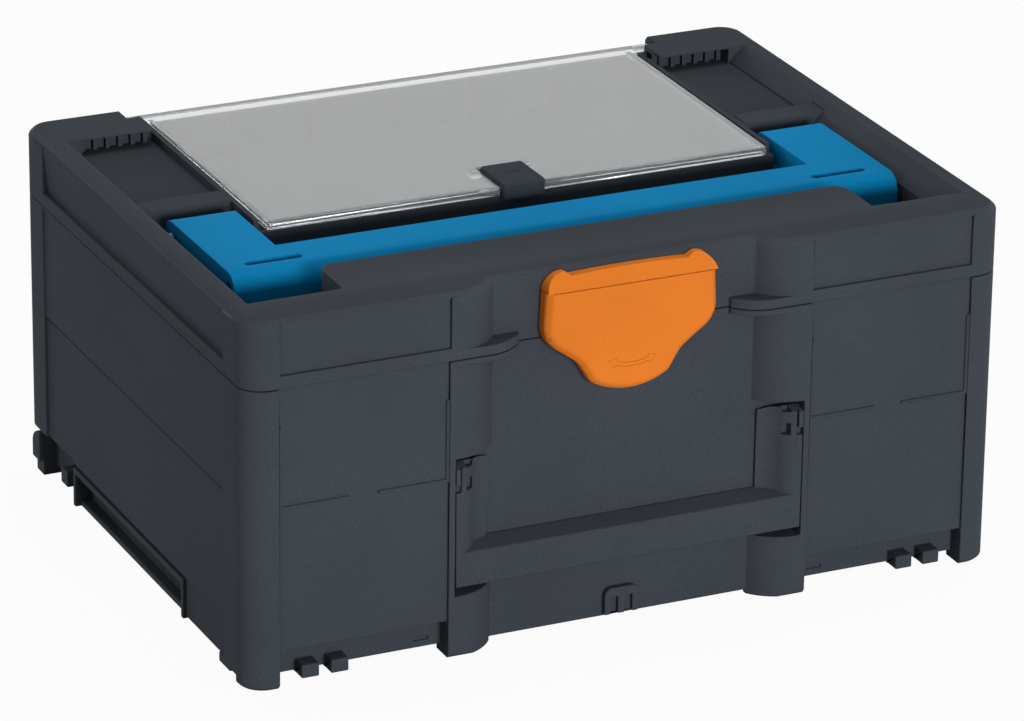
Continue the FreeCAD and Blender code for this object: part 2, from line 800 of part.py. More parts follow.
def catch():
    """The eye at the foot of the recess that the latch of a case below takes hold of."""
    outline = [
        ("-catch_half", "recess_bottom + catch_rise"),
        ("catch_half", "recess_bottom + catch_rise"),
        ("catch_half", "catch_top - catch_round"),
        ("catch_half - catch_round", "catch_top", "catch_round", 1),
        ("-catch_half + catch_round", "catch_top"),
        ("-catch_half", "catch_top - catch_round", "catch_round", 1),
    ]
    block = prism("catch_block", "XZ", outline, "recess_face - catch_reach", "recess_face + wall / 2")
    slot = box("catch_slot", ("catch_slot_inner", "catch_slot_inner + catch_slot_width"),
               ("recess_face - catch_reach - wall", "recess_face - catch_reach + wall"),
               ("below_all", "catch_slot_top"))
    return cut("catch", block, both(slot))


def side_rail():
    """The channel that a rack's runner slides in; it is let into the skirt of the base."""
    side = "width / 2 - skirt_depth"
    block = box("rail_block", (f"{side} - rail_depth", f"{side} + rail_stand"),
                ("-rail_front", "rail_rear"), ("rail_bottom", "rail_top"))
    groove = box("rail_groove", (f"{side} - rail_depth + rail_back", f"{side} + rail_stand + wall"),
                 ("-rail_front + rail_rim", "rail_rear - rail_rim"),
                 ("rail_bottom + rail_rim", "rail_top - rail_rim"))
    lip = box("rail_lip", (f"{side} + rail_stand - rail_lip_inset", f"{side} + rail_stand + wall"),
              ("-rail_front + rail_rim", "rail_rear - rail_rim"),
              ("rail_bottom - wall", "rail_top - rail_rim"))
    right = cut("side_rail_right", block, [groove, lip])
    return [right, mirror(right)]


def lid_bay(name, outer, floor, foot_level, y, grow):
    """The section of a bay in the top of the lid, with its outer wall leaning out at the rim."""
    level = "above_all" if grow == "0" else "roof"
    outer_foot = f"{outer} + sqrt(2) * {grow}"
    outline = [
        (f"bay_inner - {grow}", f"{floor} - {grow}"),
        (outer_foot, f"{floor} - {grow}"),
        (outer_foot, foot_level),
        (f"{outer_foot} + {level} - ({foot_level})", level),
        (f"bay_inner - {grow}", level),
    ]
    return prism(name, "XZ", outline, f"{y[0]} - {grow}", f"{y[1]} + {grow}")


def lid_bays(ending, grow):
    """The bay of a handle arm, the step behind it and the small tray, as spaces or as their shells."""
    tray_level = "tray_floor + tray_foot"
    step_foot = "step_level + tray_foot"
    tray_y = ("tray_front", "tray_rear" if grow == "0" else "tray_end")
    return [
        lid_bay("arm_bay" + ending, "bay_outer", "bay_floor", "slope_level", ("-deck_edge", "bay_rear"),
                grow),
        lid_bay("step" + ending, f"bay_outer + {step_foot} - slope_level", "step_level", step_foot,
                ("bay_rear", "tray_front"), grow),
        lid_bay("tray" + ending, f"bay_outer + {tray_level} - slope_level", "tray_floor", tray_level,
                tray_y, grow),
    ]


def lid_pieces():
    """The shell of the lid, and the liner under it that forms the bays, the trays and the well."""
    outer = slab("lid_block", lid_outline(), "lid_bottom", "height")
    bevel_off(outer, "top_edge", outer.Tip, [end_face(outer, max)], "top_bevel")
    under = "lid_bottom - wall"
    flank = [
        ("width / 2", "height"),
        ("width / 2 - flank_depth", "flank_bottom"),
        ("width / 2 + wall", "flank_bottom"),
        ("width / 2 + wall", "height"),
    ]
    label = box("label_panel", ("label_inner", "label_outer"),
                ("front_face - wall", "front_face + label_depth"), ("label_bottom", "roof"))
    front_bay = box("lid_front_bay", ("label_inner + wall", "label_outer + wall * 2"),
                    ("front_face + label_depth + wall", "recess_inside + wall"), (under, "roof"))
    cavity = rounded("(width / 2 - flank_depth - wall)", "(recess_inside)", "(back_face - wall)",
                     "inner_radius")
    hollow = cut("lid_hollow", outer, [
        *both(prism("lid_flank", "XZ", flank, "-flank_front", "flank_rear"), label, front_bay),
        prism("lid_cavity", "XY", cavity, under, "roof"),
        hinge_bevel("lid_bevel", "lid_bottom", "1"),
    ])

    ramp_shell = prism("ramp_shell", "YZ", [
        ("-deck_edge", "ramp_foot - wall"),
        ("-deck_edge", "roof"),
        ("-ramp_front", "roof"),
    ], "bay_inner - wall", "width / 2 - flank_depth - wall / 2")
    shells = both(
        *lid_bays("_shell", "wall"),
        ramp_shell,
        box("cover_block", ("well_half - wall", "cover_pin_outer + wall"),
            ("notch_front - wall", "back_face - wall / 2"),
            ("bay_floor", "roof")),
    )
    shells += [
        box("grip_bay_shell", ("-bay_inner", "bay_inner"), ("-deck_edge - wall", "-well_front"),
            ("bay_floor - wall", "roof")),
        box("well_shell", ("-bay_inner", "bay_inner"), ("-well_front - wall", "back_face - wall / 2"),
            ("tray_bottom + tray_plate + fit_clearance", "roof")),
    ]

    ramp = doc.addObject("Part::Common", "ramp")
    ramp.Base = lid_bay("ramp_bay", "bay_outer", "bay_floor", "slope_level",
                        ("-ramp_front", "-deck_edge + wall"), "0")
    ramp.Tool = prism("ramp_wedge", "YZ", [
        ("-deck_edge + wall", "ramp_foot"),
        ("-deck_edge + wall", "above_all"),
        ("-ramp_front", "above_all"),
        ("-ramp_front", "height"),
        ("-deck_edge", "ramp_foot"),
    ], "bay_inner - wall", "width / 2")
    deck = [
        ("-bay_inner - wall", "-deck_edge - deck_round"),
        ("-bay_inner", "-deck_edge - deck_round"),
        ("-bay_inner + deck_round", "-deck_edge", "deck_round", -1),
        ("bay_inner - deck_round", "-deck_edge"),
        ("bay_inner", "-deck_edge - deck_round", "deck_round", -1),
        ("bay_inner + wall", "-deck_edge - deck_round"),
        ("bay_inner + wall", "-well_front - wall"),
        ("-bay_inner - wall", "-well_front - wall"),
    ]
    corner = prism("deck_corner", "XY", deck, "ramp_foot", "above_all")
    openings = both(
        *lid_bays("_space", "0"),
        ramp,
        box("tray_undercut_space", ("bay_inner", "bay_outer + tray_foot"), ("tray_rear - wall", "tray_end"),
            ("tray_floor", "height - tray_lip")),
        box("wall_ledge", ("well_half - wall", "bay_inner + wall / 2"),
            ("-well_front - wall", "notch_front"),
            ("ledge_level", "above_all")),
        hinge_relief("lid_relief", (under, "hinge_level + knuckle_radius + moving_gap")),
    )
    openings += [
        corner,
        box("grip_bay", ("-bay_inner - wall", "bay_inner + wall"), ("-deck_edge", "-well_front - wall"),
            ("bay_floor", "above_all")),
        box("well", ("-well_half", "well_half"), ("-well_front", "well_rear"), (under, "above_all")),
        box("well_front_rim", ("-bay_inner", "bay_inner"), ("-well_front - wall * 2", "-well_front + wall"),
            ("tray_rim", "above_all")),
        box("cover_notch", ("-notch_half", "notch_half"), ("notch_front", "back_face + wall"),
            ("notch_floor", "above_all")),
        rod_y("axle_hole", "axle_radius + seat_clearance", "0",
              ("recess_face - wall", "recess_inside + wall"),
              "latch_level"),
    ]
    spaces = fuse("lid_spaces", openings)
    wings = both(wing("lid_wing", "lid_bottom", "lid_bottom + wing_above"))
    opened = cut("lid_opened", fuse("lid_frame", [hollow, *wings]), [spaces])
    middle = "knuckle_inner + knuckle_length + moving_gap"
    knuckles = both(*knuckle("lid_knuckle", middle, "(knuckle_middle - 2 * moving_gap)",
                             ("hinge_level", "hinge_level + knuckle_web")))
    seats = both(
        rod_x("cover_pin_hole", "cover_pin_radius + seat_clearance", ("cover_pin_inner", "cover_pin_outer"),
              "cover_axis", "barrel_level"),
        rod_x("handle_pin_hole", "handle_pin_radius + seat_clearance",
              ("well_half - wall", "bay_outer + wall"),
              "-handle_axis", "handle_level"),
    )
    pin_holes = both(rod_x("lid_pin_hole", "hinge_pin_radius + running_clearance",
                           ("knuckle_inner - wall", "knuckle_outer + wall"), "hinge_place", "hinge_level"))
    shell = cut("lid_shell", fuse("lid_hinged", [opened, *knuckles]), pin_holes + seats)

    teeth = []
    for index in range(int(number("tooth_count"))):
        start = f"bay_inner + tooth_pitch / 2 + {index} * tooth_pitch"
        teeth += both(box(f"tray_tooth_{index}", (start, f"{start} + tooth_width"),
                          ("tray_end - tooth_depth", "tray_end + wall / 2"),
                          ("tray_floor - wall / 2", "roof")))
    pan = cut("liner_pan", fuse("liner_walls", shells), [spaces, hollow])
    liner = cut("lid_liner", fuse("liner_toothed", [pan, *teeth]), seats)
    return [shell, liner]


def compartment_tray():
    """The tray let into the lid from below, with a flange that seats under the lid's walls."""
    half = "well_half - fit_clearance"
    front = "-well_front + fit_clearance"
    rear = "well_rear - fit_clearance"
    walls = box("tray_block", (f"-({half})", half), (front, rear), ("tray_bottom", "tray_rim"))
    flange = box("tray_flange_plate", (f"-({half}) - tray_flange", f"{half} + tray_flange"),
                 (f"{front} - tray_flange", rear), ("tray_bottom", "tray_bottom + tray_plate"))
    inside = box("tray_inside", (f"-({half}) + tray_wall", f"{half} - tray_wall"),
                 (f"{front} + tray_wall", f"{rear} - tray_wall"), ("tray_bottom + tray_plate", "above_all"))
    hollow = cut("tray_hollow", fuse("tray_solid", [walls, flange]), [inside])
    ribs = []
    for index in range(-2, 3):
        middle = f"{index} * rear_rib_pitch"
        ribs.append(box(f"tray_rib_{index + 2}", (f"{middle} - tray_wall / 2", f"{middle} + tray_wall / 2"),
                        (f"{rear} - tray_wall - rear_rib_depth", f"{rear} - tray_wall / 2"),
                        ("tray_bottom + tray_plate / 2", "tray_rim")))
    return fuse("compartment_tray", [hollow, *ribs])


def clear_cover():
    half = "cover_half"
    skirt_z = ("cover_lip", "cover_top")
    plate = box("cover_block_plate", (f"-{half}", half), ("-cover_front", "cover_axis"), skirt_z)
    under = box("cover_under", (f"-{half} + cover_skirt", f"{half} - cover_skirt"),
                ("-cover_front + cover_skirt", "cover_axis + wall"),
                ("cover_lip - wall", "cover_top - cover_plate"))
    tail = box("cover_tail", (f"-{half} - wall", f"{half} + wall"),
               ("cover_axis - barrel_radius * 2", "cover_axis + wall"),
               ("cover_lip - wall", "barrel_level"))
    lid = cut("cover_lid", plate, [under, tail])
    barrel = rod_x("cover_barrel", "barrel_radius", ("-ear_half", "ear_half"), "cover_axis", "barrel_level")
    ear = box("cover_ear", (f"{half} - wall", "ear_half - wall"), ("ear_front", "cover_axis"),
              ("barrel_level + fit_clearance", "cover_top"))
    boss = box("clip_boss_block", ("clip_half + clip_relief", "clip_half + clip_relief + clip_boss"),
               ("clip_axis - barrel_radius", "clip_axis + barrel_radius"),
               ("cover_lip", "cover_top - cover_plate / 2"))
    whole = fuse("cover_whole", [lid, barrel, *both(ear, boss)])
    window = box("clip_window", ("-clip_half - clip_relief", "clip_half + clip_relief"),
                 ("-cover_front - wall", "clip_axis + clip_barrel + clip_relief * 2"),
                 ("cover_lip - wall", "above_all"))
    holes = both(rod_x("ear_hole", "cover_pin_radius + running_clearance",
                       ("cover_pin_inner", "ear_half + wall"),
                       "cover_axis", "barrel_level"))
    pin_hole = rod_x("clip_pin_hole", "clip_pin_radius + seat_clearance",
                     ("-clip_half - clip_relief - clip_boss", "clip_half + clip_relief + clip_boss"),
                     "clip_axis", "clip_axis_level")
    return cut("clear_cover", whole, [window, pin_hole, *holes])


def cover_clip():
    """The snap clip in the front edge of the clear cover."""
    under = "clip_top - clip_plate"
    outline = [
        ("clip_rear", "clip_top"),
        ("-clip_front + clip_round", "clip_top"),
        ("-clip_front", "clip_top - clip_round", "clip_round", 1),
        ("-clip_front", "clip_bottom"),
        ("-clip_front + clip_leg", "clip_bottom"),
        ("-clip_front + clip_leg", under),
        ("clip_rear", under),
    ]
    plate = prism("clip_plate_form", "YZ", outline, "-clip_half", "clip_half")
    barrel = rod_x("clip_barrel_form", "clip_barrel", ("-clip_half", "clip_half"), "clip_axis",
                   "clip_axis_level")
    neck = box("clip_neck", ("-clip_half", "clip_half"), ("clip_rear - clip_barrel * 2", "clip_axis"),
               ("clip_axis_level", f"{under} + wall / 4"))
    hole = rod_x("clip_hole", "clip_pin_radius + running_clearance",
                 ("-clip_half - wall", "clip_half + wall"),
                 "clip_axis", "clip_axis_level")
    return cut("cover_clip", fuse("clip_form", [plate, barrel, neck]), [hole])


def carry_handle():
    """The bow over the front of the lid: a hooked shell with a nose, and two arms back to the pins."""
    nose = "handle_nose"
    inner = "handle_nose - handle_shell"
    front = "-handle_front"
    turn = f"{front} + {nose}"
    low = "handle_low"
    lip = "-grip_edge"
    outer_half = "handle_outer"
    section = [
        (lip, "handle_top"),
        (turn, "handle_top"),
        (front, f"handle_top - {nose}", nose, 1),
        (front, low),
        (f"{front} + handle_shell", low),
        (f"{front} + handle_shell", f"handle_top - {nose}"),
        (turn, "handle_top - handle_shell", inner, -1),
        (f"{lip} - handle_shell", "handle_top - handle_shell"),
        (f"{lip} - handle_shell", "handle_top - handle_skirt"),
        (lip, "handle_top - handle_skirt"),
    ]
    bow = prism("handle_bow", "YZ", section, f"-{outer_half}", outer_half)
    arm_x = ("handle_inner", outer_half)
    arm_y = (f"{turn}", "-handle_axis")
    arm = box("handle_arm_block", arm_x, arm_y, ("handle_top - handle_skirt", "handle_top"))
    channel = box("handle_channel", ("handle_inner + handle_shell", f"{outer_half} - handle_shell"),
                  (f"{turn} - wall", "-handle_axis - handle_boss"),
                  ("handle_top - handle_skirt - wall", "handle_top - handle_shell"))
    boss = rod_x("handle_boss_form", "handle_boss", arm_x, "-handle_axis", "handle_level")
    hole = rod_x("handle_hole", "handle_pin_radius + running_clearance",
                 ("well_half", "bay_outer + wall"), "-handle_axis", "handle_level")
    end = "handle_slot_width / 2"
    slot = prism("handle_slot", "XY", [
        (f"handle_slot_inner + {end}", f"-handle_slot_place - {end}", end, 1),
        (f"handle_slot_outer - {end}", f"-handle_slot_place - {end}"),
        ("handle_slot_outer", "-handle_slot_place", end, 1),
        (f"handle_slot_outer - {end}", f"-handle_slot_place + {end}", end, 1),
        (f"handle_slot_inner + {end}", f"-handle_slot_place + {end}"),
        ("handle_slot_inner", "-handle_slot_place", end, 1),
    ], "handle_top - handle_shell - wall", "handle_top + wall")
    arms = both(cut("handle_arm_form", fuse("handle_arm_whole", [arm, boss]), [channel, hole]))
    return cut("carry_handle", fuse("handle_whole", [bow, *arms]), both(slot))


def front_handle():
    """The folding handle: a bar across the recess and two arms shaped like the posts."""
    bar_outline = [
        ("grip_back", "grip_bottom"),
        ("grip_back", "grip_back_top"),
        ("front_face + grip_round", "grip_front_top"),
        ("front_face", "grip_front_top - grip_round", "grip_round", 1),
        ("front_face", "grip_bottom"),
    ]
    bar = prism("grip_bar", "YZ", bar_outline, "-grip_half", "grip_half")
    flank = wave("arm_inner", "grip_half", "grip_back - arm_edge", "front_face", -1)
    plan = [
        ("grip_half", "grip_back"),
        ("arm_inner", "grip_back"),
        ("arm_inner", "grip_back - arm_edge"),
        *flank,
    ]
    top = "arm_axis_level + arm_crown"
    arm = prism("grip_arm", "XY", plan, "grip_bottom", top)
    crown = prism("arm_crown_cut", "YZ", [
        ("arm_place", top, "arm_crown", 1),
        ("arm_place", f"{top} + wall"),
        ("grip_back + wall", f"{top} + wall"),
        ("grip_back + wall", "arm_axis_level"),
        ("arm_place + arm_crown", "arm_axis_level"),
    ], "arm_inner - wall", "grip_half + wall")
    brow = prism("arm_brow_cut", "YZ", [
        ("arm_place", f"{top} + wall"),
        ("arm_place", top),
        ("front_face", "arm_axis_level + arm_brow"),
        ("front_face - wall", "arm_axis_level + arm_brow"),
        ("front_face - wall", f"{top} + wall"),
    ], "arm_inner - wall", "grip_half + wall")
    middle = "grip_half - arm_slot_inset"
    slot_x = (f"{middle} - arm_slot_width / 2", f"{middle} + arm_slot_width / 2")
    slot_y = ("front_face - wall", "front_face + arm_slot_depth")
    shoulder = "grip_half - arm_shoulder"
    low = "arm_axis_level - arm_slot_low"
    slots = [
        box("arm_slot", slot_x, slot_y, (low, "arm_axis_level - arm_slot_gap")),
        box("arm_top_slot", slot_x, slot_y, ("arm_axis_level + arm_slot_gap", f"{top} + wall")),
        box("arm_groove_line", (shoulder, f"{shoulder} + arm_groove"),
            ("front_face - wall", "front_face + wall"),
            (low, f"{top} + wall")),
        box("arm_notch_corner", (shoulder, "grip_half + wall"), ("front_face - wall", "front_face + wall"),
            (low, f"{low} + arm_slot_width")),
    ]
    hole = rod_x("arm_bore", "arm_pin_radius + running_clearance", ("arm_pin_inner", "grip_half + wall"),
                 "arm_place", "arm_axis_level")
    arms = both(cut("grip_arm_form", arm, [crown, brow, hole, *slots]))
    return fuse("front_handle", [bar, *arms])


def latch_cover():
    """The front shell of the latch: a tongue under two shoulders, bevelled along its face."""
    tip = ("latch_tongue_half", "latch_level - latch_tongue_drop")
    waist = ("latch_waist_half", "latch_level - latch_waist_drop")
    shoulder = ("latch_half", "latch_level - latch_shoulder_drop")
    seam = ("latch_seam_half", "latch_level + latch_seam_rise")
    right = [waist, shoulder, seam]
    left = [(f"-({u})", v) for u, v in reversed([tip, *right])]
    body = doc.addObject("PartDesign::Body", "latch_face")
    sketch = body.newObject("Sketcher::SketchObject", "latch_face_sketch")
    plane = [item for item in body.Origin.OriginFeatures if item.Role == "XZ_Plane"][0]
    sketch.AttachmentSupport = [(plane, "")]
    sketch.MapMode = "FlatFace"
    draw(sketch, [(*tip, "latch_tongue_sweep", 1), *right, *left])
    bind(sketch, "AttachmentOffset.Base.z", "-(latch_back)")
    form = body.newObject("PartDesign::Pad", "latch_face_pad")
    form.Profile = sketch
    bind(form, "Length", "latch_thickness")
    for corner, radius in ((tip, "latch_tip_round"), (waist, "latch_waist_round"),
                           (shoulder, "latch_shoulder_round")):
        doc.recompute()
        edges = edges_along_y(form.Shape, number(corner[0]), number(corner[1]))
        form = round_off(body, f"face_{radius}", form, edges, radius)
    doc.recompute()
    edges = edges_across_y(form.Shape, number("latch_front"), number(seam[1]))
    bevel_off(body, "latch_face_edge", form, edges, "latch_edge")
    pocket = box("latch_pocket", ("-carrier_half - fit_clearance", "carrier_half + fit_clearance"),
                 ("latch_back - carrier_plate - fit_clearance", "latch_back + wall"),
                 ("latch_level - carrier_drop - fit_clearance", f"{seam[1]} + wall"))
    return cut("latch_cover", body, [pocket])


def latch_carrier():
    """The turning plate behind the cover; its leaning brow and ears show above the seam."""
    seam = "latch_level + latch_seam_rise + latch_seam"
    top = "latch_level + latch_ear_rise"
    brow_level = "latch_level + latch_brow_rise"
    form = prism("brow_form", "XZ", [
        ("-latch_seam_half", seam, "latch_ear_round", 1),
        ("latch_seam_half", seam),
        ("latch_ear_half", top, "latch_ear_round", 1),
        ("latch_ear_inner", brow_level),
        ("-latch_ear_inner", brow_level, "latch_brow_arch", 1),
        ("-latch_ear_half", top),
    ], "latch_front", "latch_back")
    lean = prism("brow_lean", "YZ", [
        ("latch_front - wall", seam),
        ("latch_front", seam),
        ("latch_front + latch_lean", f"{top} + wall"),
        ("latch_front - wall", f"{top} + wall"),
    ], "-latch_half - wall", "latch_half + wall")
    brow = cut("brow", form, [lean])
    plate = box("carrier_plate_form", ("-carrier_half", "carrier_half"),
                ("latch_back - carrier_plate", "latch_back"),
                ("latch_level - carrier_drop", f"{seam} + wall / 2"))
    hole = rod_y("carrier_hole", "axle_radius + running_clearance", "0",
                 ("latch_back - latch_thickness", "latch_back + wall"), "latch_level")
    well = rod_y("carrier_well", "ring_well", "0",
                 ("latch_back - latch_thickness", "latch_back - carrier_plate / 2"), "latch_level")
    return cut("latch_carrier", fuse("carrier_whole", [plate, brow]), [hole, well])


def hexagon(name, radius, y):
    """A six-sided plate round the latch's axis."""
    plate = doc.addObject("Part::Prism", name)
    plate.Polygon = 6
    plate.Placement.Rotation = FreeCAD.Rotation(FreeCAD.Vector(1, 0, 0), -90)
    bind(plate, "Circumradius", radius)
    bind(plate, "Height", f"({y[1]}) - ({y[0]})")
    bind(plate, "Placement.Base.y", y[0])
    bind(plate, "Placement.Base.z", "latch_level")
    return plate


def latch_axle():
    """The stud through the lid's front wall that the latch turns on."""
    shaft = rod_y("axle_shaft", "axle_radius", "0",
                  ("latch_back - carrier_plate + fit_clearance", "recess_inside + axle_head_thickness / 2"),
                  "latch_level")
    head = hexagon("axle_head_form", "axle_head", ("recess_inside", "recess_inside + axle_head_thickness"))
    return fuse("latch_axle", [shaft, head])


def latch_ring():
    """The ring pushed on to the end of the stud, which keeps the latch on."""
    ring_y = ("ring_front", "ring_front + ring_thickness")
    disc = hexagon("ring_disc", "ring_radius", ring_y)
    bore = rod_y("ring_bore", "axle_radius + seat_clearance", "0", ring_y, "latch_level")
    return cut("latch_retaining_ring", disc, [bore])


def pins():
    """The plain steel pins of the hinges, each on the right side and again on the left."""
    hinge = rod_x("lid_hinge_pin_right", "hinge_pin_radius",
                  ("knuckle_inner", "knuckle_outer"),
                  "hinge_place", "hinge_level")
    cover = rod_x("cover_hinge_pin_right", "cover_pin_radius",
                  ("cover_pin_inner + fit_clearance", "cover_pin_outer - fit_clearance"), "cover_axis",
                  "barrel_level")
    handle = rod_x("carry_handle_pin_right", "handle_pin_radius",
                   ("well_half + fit_clearance", "bay_outer + wall - fit_clearance"), "-handle_axis",
                   "handle_level")
    arm = rod_x("front_handle_pin_right", "arm_pin_radius",
                ("arm_pin_inner + fit_clearance", "grip_half + moving_gap + arm_pin_seat - fit_clearance"),
                "arm_place", "arm_axis_level")
    clip = rod_x("cover_clip_pin", "clip_pin_radius",
                 ("-clip_half - clip_relief - clip_boss + fit_clearance",
                  "clip_half + clip_relief + clip_boss - fit_clearance"), "clip_axis", "clip_axis_level")
    return [*both(hinge, cover, handle, arm), clip]


rail_right, rail_left = side_rail()
rail_left.Label = "side_rail_left"
pieces = [
    base_tub(), rail_right, rail_left, *lid_pieces(), compartment_tray(), clear_cover(), cover_clip(),
    carry_handle(), front_handle(), latch_cover(), latch_carrier(), latch_axle(), latch_ring(), *pins(),
]
for piece in pieces:
    piece.Label = piece.Label.replace("right_twin", "left")
doc.recompute()

faults = [item.Name for item in doc.Objects if "Invalid" in item.State or "Error" in item.State]
faults += [piece.Label for piece in pieces if piece.Shape.isNull() or not piece.Shape.isValid()]
faults += [piece.Label for piece in pieces if len(piece.Shape.Solids) != 1]
if faults:
    raise RuntimeError("these did not build: " + ", ".join(faults))

os.makedirs("parts", exist_ok=True)
for piece in pieces:
    piece.Shape.exportStep(os.path.join("parts", piece.Label + ".step"))
    print(piece.Label, round(piece.Shape.Volume / 1000, 2), "cm3")
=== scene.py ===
import json
import math

import bpy
from mathutils import Matrix, Vector


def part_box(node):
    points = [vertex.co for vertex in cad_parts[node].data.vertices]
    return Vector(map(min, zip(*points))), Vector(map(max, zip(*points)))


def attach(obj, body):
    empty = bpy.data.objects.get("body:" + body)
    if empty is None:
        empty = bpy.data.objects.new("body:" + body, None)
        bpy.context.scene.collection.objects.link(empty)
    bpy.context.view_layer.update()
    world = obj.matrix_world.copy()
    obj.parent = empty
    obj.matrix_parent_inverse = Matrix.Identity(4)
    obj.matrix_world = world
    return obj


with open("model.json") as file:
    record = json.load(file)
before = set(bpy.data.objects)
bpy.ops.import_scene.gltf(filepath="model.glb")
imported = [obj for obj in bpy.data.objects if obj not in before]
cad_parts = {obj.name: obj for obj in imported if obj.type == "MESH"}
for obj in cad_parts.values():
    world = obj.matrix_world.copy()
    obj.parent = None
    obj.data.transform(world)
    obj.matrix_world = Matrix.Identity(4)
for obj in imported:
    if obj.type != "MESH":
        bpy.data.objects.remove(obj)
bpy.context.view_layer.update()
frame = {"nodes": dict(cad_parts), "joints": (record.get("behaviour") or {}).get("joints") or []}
nodes = frame["nodes"]

# The looks of the stackable tool case: its plastics, its broken edges and two fine grooves drawn as lines
# of painted shade, on a white floor.
# Blender's unit is the metre, and MM turns millimetres into it.

MM = 0.001

# Colours and materials


def srgb(red, green, blue):
    """A colour as it is seen on a screen, from 0 to 255, in the linear values that shaders take."""
    channels = [value / 255 for value in (red, green, blue)]
    return tuple(c / 12.92 if c <= 0.04045 else ((c + 0.055) / 1.055) ** 2.4 for c in channels) + (1.0,)


def scaled(colour, factor):
    """A darker or lighter tone of a colour."""
    return tuple(min(c * factor, 1.0) for c in colour[:3]) + (1.0,)


def new_material(name):
    """A new material, its node tree and its main shader."""
    made = bpy.data.materials.new(name)
    made.use_nodes = True
    return made, made.node_tree, made.node_tree.nodes["Principled BSDF"]


def add(tree, kind, **inputs):
    """A node with its inputs set by name; an input may be a value or another node's socket."""
    item = tree.nodes.new(kind)
    for name, value in inputs.items():
        socket = item.inputs[name.replace("_", " ")]
        if isinstance(value, bpy.types.NodeSocket):
            tree.links.new(value, socket)
        else:
            socket.default_value = value
    return item


def noise(tree, scale, detail=2.0, roughness=0.5):
    """A cloudy pattern fixed to the object, with about so many cells to the metre."""
    place = add(tree, "ShaderNodeTexCoord").outputs["Object"]
    pattern = add(tree, "ShaderNodeTexNoise", Vector=place, Scale=scale, Detail=detail, Roughness=roughness)
    return pattern.outputs["Fac"]


def ramp(tree, factor, low, high, start=0.3, end=0.7):
    """A blend from one colour to another over part of a pattern's range."""
    item = add(tree, "ShaderNodeValToRGB", Fac=factor)
    item.color_ramp.elements[0].position = start
    item.color_ramp.elements[0].color = low
    item.color_ramp.elements[1].position = end
    item.color_ramp.elements[1].color = high
    return item.outputs["Color"]


def span(tree, value, low, high):
    """A value from 0 to 1 stretched between two others."""
    return add(tree, "ShaderNodeMapRange", Value=value, To_Min=low, To_Max=high).outputs["Result"]


def roughen(tree, shader, height, strength, depth):
    """Give a shader the relief of a pattern, of a depth in millimetres."""
    relief = add(tree, "ShaderNodeBump", Strength=strength, Distance=depth * MM, Height=height)
    tree.links.new(relief.outputs["Normal"], shader.inputs["Normal"])


def moulded(name, colour, rough, grain=1300.0, contrast=0.13, depth=0.05):
    """Moulded plastic: a fine eroded grain in colour, gloss and relief, with a faint cloudiness.

    The grain is given in cells to the metre, and its depth in millimetres.
    """
    cloud_scale = 14.0
    cloud_dark = (0.94, 0.94, 0.94, 1)
    cloud_light = (1.05, 1.05, 1.05, 1)
    gloss_change = 0.07
    relief_strength = 0.35
    sheen = 0.02
    made, tree, shader = new_material(name)
    fine = noise(tree, grain, detail=3.0, roughness=0.6)
    specks = ramp(tree, fine, scaled(colour, 1 - contrast), scaled(colour, 1 + contrast), 0.32, 0.68)
    cloud = ramp(tree, noise(tree, cloud_scale), cloud_dark, cloud_light)
    tint = add(tree, "ShaderNodeMix")
    tint.data_type = "RGBA"
    tint.blend_type = "MULTIPLY"
    tint.inputs["Factor"].default_value = 1.0
    tree.links.new(specks, tint.inputs["A"])
    tree.links.new(cloud, tint.inputs["B"])
    tree.links.new(tint.outputs["Result"], shader.inputs["Base Color"])
    tree.links.new(span(tree, fine, rough - gloss_change, rough + gloss_change), shader.inputs["Roughness"])
    roughen(tree, shader, fine, relief_strength, depth)
    shader.inputs["Specular IOR Level"].default_value = sheen
    return made


def clear_plastic(name):
    """Clear polycarbonate, with a faint haze and a faint unevenness of the moulded faces."""
    waves = 30.0
    haze = 0.03
    relief_strength = 0.04
    relief_depth = 0.1
    made, tree, shader = new_material(name)
    wavy = noise(tree, waves)
    tree.links.new(span(tree, wavy, 0.0, haze), shader.inputs["Roughness"])
    roughen(tree, shader, wavy, relief_strength, relief_depth)
    shader.inputs["Base Color"].default_value = (0.94, 0.955, 0.965, 1)
    shader.inputs["Transmission Weight"].default_value = 0.9
    shader.inputs["IOR"].default_value = 1.6
    return made


def steel(name):
    """Plain steel with fine marks in colour and gloss."""
    mark_scale = 2500.0
    dull = (0.42, 0.43, 0.45, 1)
    bright = (0.6, 0.61, 0.62, 1)
    smoothest = 0.25
    roughest = 0.45
    made, tree, shader = new_material(name)
    marks = noise(tree, mark_scale)
    tree.links.new(ramp(tree, marks, dull, bright), shader.inputs["Base Color"])
    tree.links.new(span(tree, marks, smoothest, roughest), shader.inputs["Roughness"])
    shader.inputs["Metallic"].default_value = 1.0
    return made


SATIN = {"grain": 1700.0, "contrast": 0.07, "depth": 0.03}
